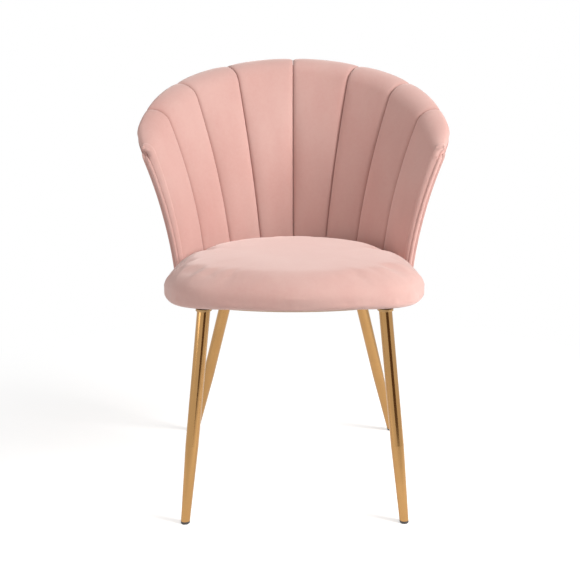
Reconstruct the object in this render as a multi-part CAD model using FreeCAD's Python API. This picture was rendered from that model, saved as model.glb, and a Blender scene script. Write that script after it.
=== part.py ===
"""Scallop back chair: upholstered barrel back, round seat and four tapered legs.

Millimetres. +Z is up, the front of the chair faces -Y and the origin is on the
floor, under the middle of the chair's overall box.
"""

import FreeCAD, Part
import math
import os

Vec = FreeCAD.Vector
UP = Vec(0, 0, 1)

# Overall depth, from the seat's front edge to the back's rolled rim
overall_depth = 534.0

# Clearances
soft_gap = 0.4
cut_spare = 5.0
hard_gap = 0.3
bracket_gap = 0.95

# Seat board, cushion, cover and dust cover
board_bottom_z = 388.5
board_thickness = 12.0
board_setback = 28.0
cover_thickness = 1.5
cushion_half_width = 242.0
cushion_widest_in = 115.0
cushion_arm_half_width = 226.0
cushion_bow_half_width = 165.0
cushion_bow_depth = 29.0
cushion_corner_bulge = 14.0
cushion_side_bulge = 3.0
cushion_rear_gap = 4.6
cushion_notch_angle = 65.0
cushion_edge_height = 27.0
cushion_edge_tuck = 24.0
cushion_crown_height = 38.0
cushion_shoulder = 60.0
cover_turn_in = 34.0
dust_cover_thickness = 0.8
dust_cover_gap = 2.0

# Barrel back: the padding's face at the seams, at the rear, the sides and the arms
base_radius = 232.0
base_level = 415.0
base_angle_side = 32.7
base_angle_arm = 67.5
neck_radius_rear = 298.0
neck_radius_side = 289.5
neck_radius_arm = 276.5
neck_angle_side = 40.9
neck_angle_arm = 71.0
neck_height_rear = 773.0
neck_height_side = 728.0
neck_height_arm = 630.0
neck_lean_rear = 9.0
neck_lean_side = 17.5
neck_lean_arm = 19.5
lip_radius_rear = 31.5
lip_radius_side = 40.0
lip_radius_arm = 32.0
lip_turn = 98.0
nose_radius = 9.0
nose_turn = 200.0
arm_tip_draw = 0.36

# Barrel back: padding, shell, outer panel and piping
channels_per_side = 4
crown_face = 7.0
crown_ends = 3.0
pad_base_rear = 22.0
pad_base_side = 16.0
pad_base_arm = 6.0
pad_neck_rear = 24.0
pad_neck_side = 20.0
pad_neck_arm = 13.0
arm_nose_length = 7.0
shell_thickness = 6.0
panel_thickness = 5.0
skirt_drop = 12.0
piping_diameter = 6.4
piping_gap = 0.8
piping_room = 1.6
rim_swell = 1.6
piping_steps = 6
rim_steps = 3

# Legs and glides: how far out their middles stand at the top and at the floor, and
# how far in from the front or the rear of the overall depth
leg_diameter = 23.5
foot_diameter = 16.2
leg_wall = 1.5
taper_share = 0.37
front_top_x = 159.7
front_top_in = 61.0
front_foot_x = 197.2
front_foot_in = 11.0
rear_top_x = 122.0
rear_top_in = 183.0
rear_foot_x = 217.0
rear_foot_in = 80.5
glide_height = 5.0
glide_insert_length = 14.0
glide_edge = 1.2

# Underframe bars and back brackets
bar_thickness = 4.0
side_bar_width = 28.0
cross_bar_width = 30.0
front_cross_in = 171.0
rear_cross_in = 223.0
side_bar_bolt_shares = (0.17, 0.5, 0.83)
cross_bar_bolt_x = 45.0
bracket_stations = (-5, -1, 1, 5)
bracket_width = 30.0
bracket_thickness = 3.0
bracket_foot_length = 28.0
bracket_rise = 46.0
bracket_foot_bolt_in = 18.0
bracket_notch_out = 9.0
bracket_shell_bolt_up = 31.0

# Fasteners
bolt_diameter = 6.0
bolt_hole_diameter = 6.8
bolt_head_diameter = 12.0
bolt_head_height = 3.4
washer_diameter = 16.0
washer_thickness = 1.2
tnut_flange_diameter = 18.0
tnut_flange_thickness = 1.2
tnut_barrel_diameter = 8.4
tnut_barrel_length = 9.0
weld_nut_diameter = 11.0
weld_nut_height = 4.5

# Worked out from the values above
board_top_z = board_bottom_z + board_thickness
cover_bottom_z = board_bottom_z - cover_thickness
dust_bottom_z = board_bottom_z - dust_cover_thickness
bar_bottom_z = cover_bottom_z - bar_thickness
bracket_bottom_z = board_bottom_z - bracket_thickness
skirt_z = board_bottom_z - skirt_drop
seat_front_y = -overall_depth / 2
rear_y = overall_depth / 2
cushion_widest_y = seat_front_y + cushion_widest_in
front_top_y = seat_front_y + front_top_in
front_foot_y = seat_front_y + front_foot_in
rear_top_y = rear_y - rear_top_in
rear_foot_y = rear_y - rear_foot_in
front_cross_y = seat_front_y + front_cross_in
rear_cross_y = rear_y - rear_cross_in
piping_radius = piping_diameter / 2
stations = 2 * channels_per_side


def along(share, rear, side, arm):
    """A value that runs smoothly from the rear seam over the side to the arm."""
    rear_part = 2 * (share - 0.5) * (share - 1)
    side_part = -4 * share * (share - 1)
    arm_part = 2 * share * (share - 0.5)
    return rear_part * rear + side_part * side + arm_part * arm


def polar(radius, degrees):
    """A point of the plan, across and back from the barrel's middle."""
    turn = math.radians(degrees)
    return radius * math.sin(turn), radius * math.cos(turn)


class Station:
    """One upright plane through the back, and the profile that lies in it.

    Numbers run from one arm's front edge, below zero, to the other's. Even ones
    are seams and odd ones the middles of channels. A point of the profile is a
    pair: its distance out along the plane, and its height. A depth is counted
    square to the face, from the seam's line into the padding.
    """

    def __init__(self, number):
        share = abs(number) / stations
        self.side = -1 if number < 0 else 1
        self.crowned = number % 2 == 1
        base_angle = along(share, 0.0, base_angle_side, base_angle_arm)
        neck_angle = along(share, 0.0, neck_angle_side, neck_angle_arm)
        neck_radius = along(share, neck_radius_rear, neck_radius_side, neck_radius_arm)
        self.base = polar(base_radius, base_angle)
        neck = polar(neck_radius, neck_angle)
        across = neck[0] - self.base[0]
        back = neck[1] - self.base[1]
        self.reach = math.hypot(across, back)
        self.way = (across / self.reach, back / self.reach)
        skew = math.atan2(across, back) - math.radians((base_angle + neck_angle) / 2)
        self.slant = 1 / math.cos(skew)
        self.neck_z = along(share, neck_height_rear, neck_height_side, neck_height_arm)
        self.lean = math.radians(along(share, neck_lean_rear, neck_lean_side, neck_lean_arm))
        self.lip = along(share, lip_radius_rear, lip_radius_side, lip_radius_arm)
        self.lip_share = 1 - arm_tip_draw * max(0.0, abs(number) - stations + 1)
        self.pad_base = along(share, pad_base_rear, pad_base_side, pad_base_arm)
        self.pad_neck = along(share, pad_neck_rear, pad_neck_side, pad_neck_arm)
        rise = self.neck_z - base_level
        chord_lean = math.atan2(self.reach, rise)
        self.foot_lean = 2 * chord_lean - self.lean
        half_turn = (self.lean - self.foot_lean) / 2
        self.radius = math.hypot(self.reach, rise) / 2 / math.sin(half_turn)

    def face(self, height, depth):
        """The face at a height, moved in by a depth."""
        lean = math.asin((height - base_level) / self.radius + math.sin(self.foot_lean))
        out = self.radius * (math.cos(self.foot_lean) - math.cos(lean))
        return out + depth * self.slant / math.cos(lean), height

    def neck(self, depth):
        """The end of the face, where the lip starts, moved in by a depth."""
        deep = depth * self.slant
        return self.reach + deep * math.cos(self.lean), self.neck_z - deep * math.sin(self.lean)

    def lip_point(self, turn, depth):
        """The lip's arc where the profile has turned that far from upright."""
        radius = self.lip - depth * self.slant
        over = self.lip * math.cos(self.lean) - radius * math.cos(turn)
        height = self.neck_z - self.lip * math.sin(self.lean) + radius * math.sin(turn)
        return self.reach + over * self.lip_share, height

    def nose_point(self, turn):
        """The small arc that ends the lip, where the profile has turned that far."""
        start = math.radians(lip_turn)
        out, height = self.lip_point(start, 0.0)
        out += nose_radius * (math.cos(start) - math.cos(turn)) * self.lip_share
        height += nose_radius * (math.sin(turn) - math.sin(start))
        return out, height

    def nose_end(self):
        """The underside of the nose, above the piping."""
        return self.nose_point(math.radians(nose_turn))

    def piping_point(self):
        """The middle of the piping under the nose."""
        out, height = self.nose_end()
        return out - piping_radius / 3, height - piping_radius - piping_gap

    def place(self, point, forward=0.0):
        """The model's point for a profile point, moved towards the chair's front."""
        x = self.base[0] + self.way[0] * point[0] + self.way[1] * forward
        y = self.base[1] + self.way[1] * point[0] - self.way[0] * forward
        return Vec(self.side * x, barrel_y + y, point[1])


def rear_reach():
    """How far the outermost point of the rim stands behind the barrel's middle."""
    reach = 0.0
    for number in range(stations + 1):
        station = Station(number)
        out = station.nose_point(math.pi)[0]
        reach = max(reach, station.base[1] + station.way[1] * out)
    return reach + rim_swell


barrel_y = rear_y - rear_reach()


def arc_edge(start, middle, end):
    """An arc through three points."""
    return Part.Arc(start, middle, end).toShape()


def line_edge(start, end):
    """A straight edge."""
    return Part.LineSegment(start, end).toShape()


def flat_face(points):
    """A flat face with straight edges through points."""
    return Part.Face(Part.makePolygon(list(points) + [points[0]]))


def loft(wires):
    """A smooth solid through wires."""
    return Part.makeLoft(wires, True, False)


def flare(start, lean, end):
    """The middle of the arc that leaves start at a lean from upright and meets end."""
    across = end[0] - start[0]
    rise = end[1] - start[1]
    normal = (math.cos(lean), -math.sin(lean))
    square = across * across + rise * rise
    radius = square / (2 * (across * normal[0] + rise * normal[1]))
    centre = (start[0] + radius * normal[0], start[1] + radius * normal[1])
    to_chord = ((start[0] + end[0]) / 2 - centre[0], (start[1] + end[1]) / 2 - centre[1])
    scale = abs(radius) / math.hypot(*to_chord)
    return centre[0] + to_chord[0] * scale, centre[1] + to_chord[1] * scale


def profile_wire(station, points, middles, forward=0.0):
    """A closed wire through profile points, bent where a middle point is given."""
    placed = [station.place(point, forward) for point in points]
    edges = []
    for index, start in enumerate(placed):
        end = placed[(index + 1) % len(placed)]
        if middles[index] is None:
            edges.append(line_edge(start, end))
        else:
            edges.append(arc_edge(start, station.place(middles[index], forward), end))
    return Part.Wire(edges)


def pad_wire(station, face_in=0.0, ends_in=0.0, forward=0.0):
    """The padding's section: face, lip, nose, underside of the lip, back, bottom."""
    middle_z = (board_top_z + station.neck_z) / 2
    lip_end = math.radians(lip_turn)
    nose_middle = (lip_end + math.radians(nose_turn)) / 2
    nose_end = station.nose_end()
    back_neck = station.neck(station.pad_neck)
    points = [
        station.face(board_top_z, ends_in),
        station.neck(ends_in),
        station.lip_point(lip_end, ends_in),
        nose_end,
        back_neck,
        station.face(board_top_z, station.pad_base),
    ]
    middles = [
        station.face(middle_z, face_in),
        station.lip_point((station.lean + lip_end) / 2, ends_in),
        station.nose_point(nose_middle),
        flare(back_neck, station.lean, nose_end),
        station.face(middle_z, (station.pad_base + station.pad_neck) / 2),
        None,
    ]
    return profile_wire(station, points, middles, forward)


def arm_nose(station):
    """The rounded front edge of the padding at an arm."""
    half_in = station.pad_base / 6
    whole_in = station.pad_base * 0.6
    wires = [
        pad_wire(station),
        pad_wire(station, half_in, half_in, 0.6 * arm_nose_length),
        pad_wire(station, whole_in, whole_in, arm_nose_length),
    ]
    return loft(wires)


def back_channel(first):
    """One sewn channel of padding, from its seam to the next one."""
    wires = []
    for number in (first, first + 1, first + 2):
        station = Station(number)
        crowned = station.crowned
        wires.append(pad_wire(station, -crown_face * crowned, -crown_ends * crowned))
    solid = loft(wires)
    for number in (first, first + 2):
        if abs(number) == stations:
            solid = solid.fuse(arm_nose(Station(number))).removeSplitter()
    return solid


def shell_depths(station):
    """How deep the shell's front face lies at its foot and at its neck."""
    return station.pad_base + soft_gap, station.pad_neck + soft_gap


def panel_depths(station):
    """How deep the outer panel's front face lies at its foot and at its neck."""
    foot, neck = shell_depths(station)
    return foot + shell_thickness + soft_gap, neck + shell_thickness + soft_gap


def shell_wire(number):
    """The moulded shell's section: front face, top, rear face, bottom."""
    station = Station(number)
    foot, neck = shell_depths(station)
    middle_z = (skirt_z + station.neck_z) / 2
    middle = (foot + neck) / 2
    points = [
        station.face(skirt_z, foot),
        station.neck(neck),
        station.neck(neck + shell_thickness),
        station.face(skirt_z, foot + shell_thickness),
    ]
    middles = [
        station.face(middle_z, middle),
        None,
        station.face(middle_z, middle + shell_thickness),
        None,
    ]
    return profile_wire(station, points, middles)


def panel_wire(number):
    """The outer panel's section, which flares out below the piping."""
    station = Station(number)
    foot, neck = panel_depths(station)
    middle_z = (skirt_z + station.neck_z) / 2
    middle = (foot + neck) / 2
    nose = station.nose_end()
    top_z = nose[1] - piping_diameter - piping_room
    points = [
        station.face(skirt_z, foot),
        station.neck(neck),
        (nose[0] - panel_thickness, top_z),
        (nose[0], top_z),
        station.neck(neck + panel_thickness),
        station.face(skirt_z, foot + panel_thickness),
    ]
    middles = [
        station.face(middle_z, middle),
        None,
        None,
        None,
        station.face(middle_z, middle + panel_thickness),
        None,
    ]
    return profile_wire(station, points, middles)


def all_round(wire_at):
    """A solid through a section at every station, from arm to arm."""
    return loft([wire_at(number) for number in range(-stations, stations + 1)])


def arm_piping_points(end):
    """The middle line of the piping up an arm's front edge, from the seat upwards."""
    station = Station(end)
    forward = piping_radius + soft_gap
    beside = soft_gap + piping_radius
    points = []
    for step in range(piping_steps):
        share = step / piping_steps
        height = board_top_z + share * (station.neck_z - board_top_z)
        depth = station.pad_base + share * (station.pad_neck - station.pad_base) + beside
        points.append(station.place(station.face(height, depth), forward))
    top = station.place(station.neck(station.pad_neck + beside), forward)
    inner = Station(end - station.side)
    rim = inner.place(inner.piping_point())
    return points + [top, (top + rim) * 0.5]


def ring_loft(points, radius):
    """A round cord through points, as a loft of rings."""
    rings = []
    for index, point in enumerate(points):
        before = points[max(index - 1, 0)]
        after = points[min(index + 1, len(points) - 1)]
        rings.append(Part.Wire(Part.makeCircle(radius, point, after - before)))
    return Part.makeLoft(rings, True, True)


def piping(extra=0.0):
    """One length of piping: up one arm's edge, under the rim and down the other."""
    rim = []
    for step in range((1 - stations) * rim_steps, (stations - 1) * rim_steps + 1):
        station = Station(step / rim_steps)
        rim.append(station.place(station.piping_point()))
    right = arm_piping_points(stations)
    points = arm_piping_points(-stations) + rim + right[::-1]
    return ring_loft(points, piping_radius + extra)


def cushion_half_outline(inset):
    """Points of the cushion's outline on one side, from the rear to the front."""
    arm_front = Station(stations).place((0.0, base_level), arm_nose_length)
    rear_x, rear_y = polar(base_radius - cushion_rear_gap - inset, cushion_notch_angle)
    notch_y = arm_front.y - cushion_rear_gap
    return [
        (rear_x, barrel_y + rear_y),
        (arm_front.x - cushion_rear_gap - inset, notch_y - inset / 2),
        (cushion_arm_half_width - inset, notch_y - inset / 2 - cushion_rear_gap),
        (cushion_half_width - inset, cushion_widest_y + inset / 4),
        (cushion_bow_half_width - inset / 2, seat_front_y + cushion_bow_depth + inset),
    ]


def bulged(start, end, bulge):
    """The middle of a shallow arc between two points, bulging out of the outline."""
    across = end[0] - start[0]
    along_y = end[1] - start[1]
    length = math.hypot(across, along_y)
    middle_x = (start[0] + end[0]) / 2 - along_y / length * bulge
    middle_y = (start[1] + end[1]) / 2 + across / length * bulge
    return middle_x, middle_y


def cushion_wire(height, inset):
    """The cushion's outline at a height, drawn in by an inset."""
    half = cushion_half_outline(inset)
    bends = [None, None, cushion_side_bulge, cushion_corner_bulge]
    right = []
    left = []
    for index, bend in enumerate(bends):
        start = half[index]
        end = half[index + 1]
        for side, edges in ((1, right), (-1, left)):
            a = Vec(side * start[0], start[1], height)
            b = Vec(side * end[0], end[1], height)
            if bend is None:
                edges.append(line_edge(a, b))
            else:
                x, y = bulged(start, end, bend)
                edges.append(arc_edge(a, Vec(side * x, y, height), b))
    rear_middle = Vec(0, barrel_y + base_radius - cushion_rear_gap - inset, height)
    front_middle = Vec(0, seat_front_y + inset, height)
    rear_right = Vec(half[0][0], half[0][1], height)
    rear_left = Vec(-half[0][0], half[0][1], height)
    front_right = Vec(half[-1][0], half[-1][1], height)
    front_left = Vec(-half[-1][0], half[-1][1], height)
    rear = arc_edge(rear_left, rear_middle, rear_right)
    front = arc_edge(front_right, front_middle, front_left)
    return Part.Wire([rear] + right + [front] + left[::-1])


def cushion_body(skin):
    """The cushion's form, crowned above and drawn in below, less a skin all over."""
    bottom = cover_bottom_z + skin
    edge_z = cover_bottom_z + cushion_edge_height
    wires = []
    for degrees in (0, 30, 60):
        turn = math.radians(degrees)
        inset = cushion_edge_tuck * (1 - math.sin(turn))
        height = edge_z - (edge_z - bottom) * math.cos(turn)
        wires.append(cushion_wire(height, inset + skin))
    for degrees in (0, 22, 44, 64, 80):
        turn = math.radians(degrees)
        inset = cushion_shoulder * (1 - math.cos(turn))
        height = edge_z + (cushion_crown_height - skin) * math.sin(turn)
        wires.append(cushion_wire(height, inset + skin))
    return loft(wires)


def seat_board_blank(spare=0.0):
    """The plywood board without holes, inside the shell, or its room with a spare below."""
    rear = []
    for number in range(-stations, stations + 1):
        station = Station(number)
        point = station.place(station.face(board_bottom_z, station.pad_base))
        rear.append(Vec(point.x, point.y, board_bottom_z))
    rear_curve = Part.BSplineCurve()
    rear_curve.interpolate(rear)
    front = cushion_half_outline(board_setback)[2:]
    right = [Vec(x, y, board_bottom_z) for x, y in front]
    left = [Vec(-x, y, board_bottom_z) for x, y in front]
    corner_x, corner_y = bulged(front[1], front[2], cushion_corner_bulge)
    edges = [
        rear_curve.toShape(),
        line_edge(rear[-1], right[0]),
        line_edge(right[0], right[1]),
        arc_edge(right[1], Vec(corner_x, corner_y, board_bottom_z), right[2]),
        arc_edge(right[2], Vec(0, seat_front_y + board_setback, board_bottom_z), left[2]),
        arc_edge(left[2], Vec(-corner_x, corner_y, board_bottom_z), left[1]),
        line_edge(left[1], left[0]),
        line_edge(left[0], rear[0]),
    ]
    blank = Part.Face(Part.Wire(edges)).extrude(UP * (board_thickness + spare))
    blank.translate(UP * -spare)
    return blank


def side_bar_ends(side):
    """The middles of a side bar's ends, on the tops of the legs."""
    front = Vec(side * front_top_x, front_top_y, bar_bottom_z)
    rear = Vec(side * rear_top_x, rear_top_y, bar_bottom_z)
    return front, rear


def bar_bolt_points():
    """Where bolts go up through the underframe's bars."""
    points = []
    for side in (-1, 1):
        front, rear = side_bar_ends(side)
        for share in side_bar_bolt_shares:
            points.append(front + (rear - front) * share)
        for cross_y in (front_cross_y, rear_cross_y):
            points.append(Vec(side * cross_bar_bolt_x, cross_y, bar_bottom_z))
    return points


def drilled(solid, points, diameter):
    """A solid with upright round holes at points, no higher than the board's top."""
    for point in points:
        start = Vec(point.x, point.y, 0)
        solid = solid.cut(Part.makeCylinder(diameter / 2, board_top_z, start))
    return solid


def side_bar(side):
    """A flat bar with round ends, welded across the tops of two legs."""
    front, rear = side_bar_ends(side)
    way = (rear - front).normalize()
    edge = way.cross(UP) * (side_bar_width / 2)
    tip = way * (side_bar_width / 2)
    edges = [
        line_edge(front + edge, rear + edge),
        arc_edge(rear + edge, rear + tip, rear - edge),
        line_edge(rear - edge, front - edge),
        arc_edge(front - edge, front - tip, front + edge),
    ]
    solid = Part.Face(Part.Wire(edges)).extrude(UP * bar_thickness)
    return drilled(solid, bar_bolt_points(), bolt_hole_diameter)


def cross_bar(middle_y):
    """A flat bar between the side bars, cut to their slant."""
    front, rear = side_bar_ends(1)
    slope = (rear.x - front.x) / (rear.y - front.y)
    half_width = side_bar_width / 2 * math.hypot(1, slope)
    corners = []
    for y in (middle_y - cross_bar_width / 2, middle_y + cross_bar_width / 2):
        corners.append((front.x + slope * (y - front.y) - half_width, y))
    right = [Vec(x, y, bar_bottom_z) for x, y in corners]
    left = [Vec(-x, y, bar_bottom_z) for x, y in corners]
    solid = flat_face(right + left[::-1]).extrude(UP * bar_thickness)
    return drilled(solid, bar_bolt_points(), bolt_hole_diameter)


def tapered_bar(foot, top, shrink):
    """A leg's round body, longer than the leg, less a wall all round."""
    length = (top - foot).Length
    way = (top - foot).normalize()
    taper_end = length * taper_share
    upper = leg_diameter / 2 - shrink
    lower = foot_diameter / 2 - shrink
    spare = leg_diameter
    tip = Part.makeCylinder(lower, spare, foot - way * spare, way)
    cone = Part.makeCone(lower, upper, taper_end, foot, way)
    tube = Part.makeCylinder(upper, length - taper_end + spare, foot + way * taper_end, way)
    return tip.fuse([cone, tube])


def between(solid, low_z, high_z):
    """The part of a solid between two heights."""
    size = 4 * overall_depth
    corner = Vec(-size / 2, -size / 2, low_z)
    return solid.common(Part.makeBox(size, size, high_z - low_z, corner))


def leg_line(row, side):
    """A leg's middle line, from the floor to the underside of the bar."""
    if row == "front":
        foot = Vec(side * front_foot_x, front_foot_y, 0)
        top = Vec(side * front_top_x, front_top_y, bar_bottom_z)
    else:
        foot = Vec(side * rear_foot_x, rear_foot_y, 0)
        top = Vec(side * rear_top_x, rear_top_y, bar_bottom_z)
    return foot, top


def leg(row, side):
    """A tapered steel tube, cut level at the bar and above its glide."""
    foot, top = leg_line(row, side)
    tube = tapered_bar(foot, top, 0.0).cut(tapered_bar(foot, top, leg_wall))
    return between(tube.removeSplitter(), glide_height, bar_bottom_z)


def glide(row, side):
    """A plastic foot, level on the floor, with a plug that fits up the leg."""
    foot, top = leg_line(row, side)
    way = (top - foot).normalize()
    pad = between(tapered_bar(foot, top, 0.0), glide_edge, glide_height)
    sole = between(tapered_bar(foot, top, glide_edge), 0.0, glide_edge)
    reach = Part.makeCylinder(foot_diameter / 2 - leg_wall - hard_gap,
                              glide_insert_length, foot, way)
    plug = between(reach, glide_height, glide_insert_length * 2)
    return pad.fuse([sole, plug]).removeSplitter()


def bracket_frame(number):
    """A bracket's middle direction, its distance out and its lean with the shell."""
    station = Station(number)
    foot = shell_depths(station)[0]
    low = station.place(station.face(bracket_bottom_z, foot))
    high = station.place(station.face(bracket_bottom_z + bracket_rise, foot))
    middle = Vec(0, barrel_y, 0)
    out = Vec(low.x, low.y, 0) - middle
    lean = math.atan2((Vec(high.x, high.y, 0) - middle).Length - out.Length, bracket_rise)
    return out.Length - bracket_gap, Vec(out).normalize(), lean


def bracket_point(number, inward, height):
    """A point in a bracket's middle plane, inward of its outer face."""
    out, way, lean = bracket_frame(number)
    reach = out + (height - bracket_bottom_z) * math.tan(lean) - inward
    return Vec(0, barrel_y, height) + way * reach


def bracket_blank(number, extra=0.0, outward=0.0):
    """An angle bracket under the board and up the shell, swollen by an extra."""
    way = bracket_frame(number)[1]
    side = way.cross(UP) * (bracket_width / 2 + extra)
    top_z = bracket_bottom_z + bracket_rise + extra
    foot_top_z = bracket_bottom_z + bracket_thickness
    leg_in = bracket_thickness + extra
    foot_end = bracket_foot_length
    outline = [
        bracket_point(number, -extra - outward, bracket_bottom_z),
        bracket_point(number, -extra - outward, top_z),
        bracket_point(number, leg_in, top_z),
        bracket_point(number, leg_in, foot_top_z),
        bracket_point(number, foot_end, foot_top_z),
        bracket_point(number, foot_end, bracket_bottom_z),
    ]
    return flat_face([point - side for point in outline]).extrude(side * 2)


def foot_bolt_point(number):
    """Where a bracket's bolt goes up into the board."""
    point = bracket_point(number, bracket_foot_bolt_in, bracket_bottom_z)
    return Vec(point.x, point.y, bracket_bottom_z)


def shell_bolt_line(number):
    """The axis of a bracket's bolt through the shell: its nut's seat and way in."""
    way, lean = bracket_frame(number)[1:]
    start = bracket_point(number, bracket_thickness, bracket_bottom_z + bracket_shell_bolt_up)
    inward = way * -math.cos(lean) + UP * math.sin(lean)
    return start, inward


def rod(start, way, low, high, diameter):
    """A round bar along a line, from one distance to another."""
    return Part.makeCylinder(diameter / 2, high - low, start + way * low, way)


def shell_bolt_reach(number):
    """How far the bolt head's seat lies outside the nut's seat."""
    return bracket_thickness + bracket_gap + shell_thickness + hard_gap


def shell_bolt(number):
    """A flat-headed bolt through the shell, with its head outside it."""
    start, inward = shell_bolt_line(number)
    seat = -shell_bolt_reach(number)
    shank = rod(start, inward, seat, weld_nut_height, bolt_diameter)
    head = rod(start, inward, seat - bolt_head_height / 2, seat, bolt_head_diameter)
    return shank.fuse(head).removeSplitter()


def shell_bolt_space(number):
    """The room that a shell bolt's head and hole take in the shell and panel."""
    start, inward = shell_bolt_line(number)
    seat = -shell_bolt_reach(number)
    hole = rod(start, inward, seat - soft_gap, weld_nut_height, bolt_hole_diameter)
    head_low = seat - bolt_head_height / 2 - soft_gap
    head = rod(start, inward, head_low, seat, bolt_head_diameter + 2 * soft_gap)
    return hole.fuse(head)


def back_bracket(number):
    """The finished bracket, with a bolt hole in each leg."""
    start, inward = shell_bolt_line(number)
    hole = rod(start, inward, -2 * bracket_thickness, bracket_thickness, bolt_hole_diameter)
    solid = bracket_blank(number).cut(hole)
    return drilled(solid, [foot_bolt_point(number)], bolt_hole_diameter)


def weld_nut(number):
    """A round nut welded to the bracket's inner face."""
    start, inward = shell_bolt_line(number)
    body = rod(start, inward, 0.0, weld_nut_height, weld_nut_diameter)
    bore = rod(start, inward, 0.0, weld_nut_height, bolt_hole_diameter)
    return body.cut(bore)


def weld_nut_space(number):
    """The room that a weld nut takes in the padding."""
    start, inward = shell_bolt_line(number)
    wide = weld_nut_diameter + 2 * soft_gap
    return rod(start, inward, 0.0, weld_nut_height + soft_gap, wide)


def seat_bolt(seat_z, point):
    """A bolt with its head and washer below a seat, up into a T-nut."""
    head_top = seat_z - washer_thickness
    start = Vec(point.x, point.y, head_top)
    head = Part.makeCylinder(bolt_head_diameter / 2, bolt_head_height,
                             start - UP * bolt_head_height)
    shank = Part.makeCylinder(bolt_diameter / 2, board_top_z - head_top, start)
    return shank.fuse(head).removeSplitter()


def washer(seat_z, point):
    """A washer between a bolt's head and its seat."""
    start = Vec(point.x, point.y, seat_z - washer_thickness)
    disc = Part.makeCylinder(washer_diameter / 2, washer_thickness, start)
    return disc.cut(Part.makeCylinder(bolt_hole_diameter / 2, washer_thickness, start))


def t_nut(point):
    """A T-nut: flange on the board's top, barrel down its hole."""
    top = Vec(point.x, point.y, board_top_z)
    flange = Part.makeCylinder(tnut_flange_diameter / 2, tnut_flange_thickness, top)
    barrel_start = top - UP * tnut_barrel_length
    barrel = Part.makeCylinder(tnut_barrel_diameter / 2, tnut_barrel_length, barrel_start)
    length = tnut_barrel_length + tnut_flange_thickness
    bore = Part.makeCylinder(bolt_hole_diameter / 2, length, barrel_start)
    return flange.fuse(barrel).cut(bore).removeSplitter()


def t_nut_space(point):
    """The room that a T-nut's flange takes in the foam."""
    start = Vec(point.x, point.y, board_top_z - cut_spare)
    radius = tnut_flange_diameter / 2 + soft_gap
    return Part.makeCylinder(radius, cut_spare + tnut_flange_thickness + soft_gap, start)


def seat_bolt_seats():
    """Every upright bolt: the height of its seat and its place."""
    seats = [(bar_bottom_z, point) for point in bar_bolt_points()]
    for number in bracket_stations:
        seats.append((bracket_bottom_z, foot_bolt_point(number)))
    return seats


def group(solids):
    """Separate solids that share one sub-part."""
    return Part.makeCompound(solids)


def seat_parts(parts):
    """The board, foam, cover, dust cover and their fasteners."""
    seats = seat_bolt_seats()
    points = [point for seat_z, point in seats]
    board = seat_board_blank()
    for number in bracket_stations:
        board = board.cut(bracket_blank(number, hard_gap, bracket_notch_out))
    outer = cushion_body(0.0)
    inner = cushion_body(cover_thickness)
    foam = inner.cut(seat_board_blank(cut_spare))
    window = cushion_wire(cover_bottom_z - cut_spare, cushion_edge_tuck + cover_turn_in)
    opening = Part.Face(window).extrude(UP * (2 * cut_spare))
    behind_corner = Vec(-overall_depth / 2, cushion_half_outline(board_setback)[2][1],
                        board_top_z - 2 * board_thickness)
    behind = Part.makeBox(overall_depth, overall_depth, 2 * board_thickness, behind_corner)
    cover = outer.cut(inner).cut(opening).cut(behind)
    for point in points:
        foam = foam.cut(t_nut_space(point))
        cover = cover.cut(t_nut_space(point))
    dust_inset = cushion_edge_tuck + cover_turn_in + dust_cover_gap
    dust_face = Part.Face(cushion_wire(dust_bottom_z, dust_inset))
    dust = dust_face.extrude(UP * dust_cover_thickness)
    board_hole = tnut_barrel_diameter + 2 * hard_gap
    parts["seat_board"] = drilled(board, points, board_hole)
    parts["seat_foam"] = foam
    parts["seat_cover"] = drilled(cover, points, bolt_hole_diameter)
    parts["dust_cover"] = drilled(dust, points, bolt_hole_diameter)
    parts["seat_bolts"] = group([seat_bolt(seat_z, point) for seat_z, point in seats])
    parts["seat_washers"] = group([washer(seat_z, point) for seat_z, point in seats])
    parts["t_nuts"] = group([t_nut(point) for point in points])


def back_parts(parts):
    """The channels, shell, outer panel, piping, brackets and their fasteners."""
    piping_space = piping(soft_gap)
    for index in range(2 * channels_per_side):
        first = 2 * index - stations
        channel = back_channel(first)
        if stations in (abs(first), abs(first + 2)):
            channel = channel.cut(piping_space)
        if first + 1 in bracket_stations:
            channel = channel.cut(bracket_blank(first + 1, soft_gap, bracket_notch_out))
            channel = channel.cut(weld_nut_space(first + 1))
            channel = channel.cut(t_nut_space(foot_bolt_point(first + 1)))
        parts["back_channel_%d" % (index + 1)] = channel
    shell = all_round(shell_wire)
    panel = all_round(panel_wire).cut(piping_space)
    for number in bracket_stations:
        space = shell_bolt_space(number)
        shell = shell.cut(space)
        panel = panel.cut(space)
    parts["back_shell"] = shell
    parts["outer_back_panel"] = panel
    parts["edge_piping"] = piping()
    parts["back_brackets"] = group([back_bracket(number) for number in bracket_stations])
    parts["bracket_nuts"] = group([weld_nut(number) for number in bracket_stations])
    parts["back_bolts"] = group([shell_bolt(number) for number in bracket_stations])


def frame_parts(parts):
    """The legs, their glides and the bars that join them."""
    for row in ("front", "rear"):
        for side, name in ((-1, "right"), (1, "left")):
            parts["%s_%s_leg" % (row, name)] = leg(row, side)
            parts["%s_%s_glide" % (row, name)] = glide(row, side)
    parts["right_side_bar"] = side_bar(-1)
    parts["left_side_bar"] = side_bar(1)
    parts["front_cross_bar"] = cross_bar(front_cross_y)
    parts["rear_cross_bar"] = cross_bar(rear_cross_y)


def build():
    """Makes every sub-part, by name."""
    parts = {}
    seat_parts(parts)
    back_parts(parts)
    frame_parts(parts)
    return parts


def main():
    """Writes one STEP file for each sub-part."""
    os.makedirs("parts", exist_ok=True)
    for name, shape in build().items():
        shape.exportStep("parts/%s.step" % name)


main()
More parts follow.
